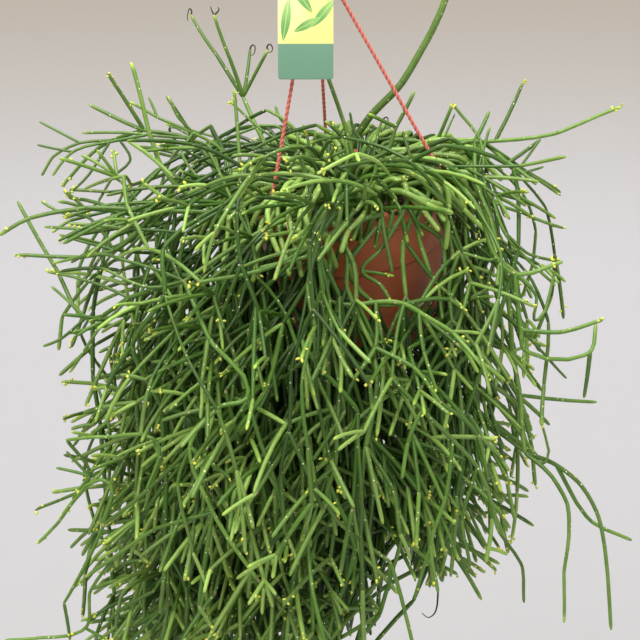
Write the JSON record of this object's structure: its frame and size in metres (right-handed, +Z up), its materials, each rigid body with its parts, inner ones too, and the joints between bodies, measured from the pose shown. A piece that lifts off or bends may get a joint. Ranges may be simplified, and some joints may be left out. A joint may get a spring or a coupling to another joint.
{
  "type": "potted rhipsalis heteroclada",
  "caption": "Hanging plastic pot on twisted cords and a hook, filled with a dense, drooping mop of thin, branching, leafless cactus stems, with a plain plant label.",
  "frame": {"origin": "the hook's bearing point, inside the top of its bend", "axes": "+Z up, along the line of the pull; -Y is the side that is mostly seen"},
  "size_m": [0.4027, 0.3357, 0.5531],
  "materials": {
    "pot_plastic": "satin",
    "potting_mix": "matte",
    "hook_plastic": "satin",
    "cord_fibre": "matte",
    "label_card": "satin",
    "stem": "satin"
  },
  "bodies": {
    "root": {"pot": "pot_plastic", "soil": "potting_mix", "hook": "hook_plastic", "cord_right": "cord_fibre", "cord_left": "cord_fibre", "cord_back": "cord_fibre", "label": "label_card", "crownShoots": "stem", "crown_1": "stem", "crown_2": "stem", "crown_3": "stem", "crown_4": "stem", "fan_1": "stem", "fan_2": "stem", "fan_3": "stem", "fan_4": "stem", "fan_5": "stem", "innerFall_1": "stem", "innerFall_2": "stem", "innerFall_3": "stem", "innerFall_4": "stem", "innerFall_5": "stem", "innerFall_6": "stem", "innerFall_7": "stem", "leftArch": "stem", "leftMid": "stem", "leftReach": "stem", "leftShoot": "stem", "leftTop": "stem", "midFall_1": "stem", "midFall_10": "stem", "midFall_11": "stem", "midFall_2": "stem", "midFall_3": "stem", "midFall_4": "stem", "midFall_5": "stem", "midFall_6": "stem", "midFall_7": "stem", "midFall_9": "stem", "outerFall_1": "stem", "outerFall_10": "stem", "outerFall_11": "stem", "outerFall_12": "stem", "outerFall_14": "stem", "outerFall_2": "stem", "outerFall_3": "stem", "outerFall_4": "stem", "outerFall_5": "stem", "outerFall_6": "stem", "outerFall_7": "stem", "outerFall_8": "stem", "outerFall_9": "stem", "potLeft": "stem", "potMiddle": "stem", "potRight": "stem", "rightDroop": "stem", "rightMid": "stem", "rightReach": "stem", "rightTop": "stem", "tallShoot": "stem"}
  },
  "joints": []
}
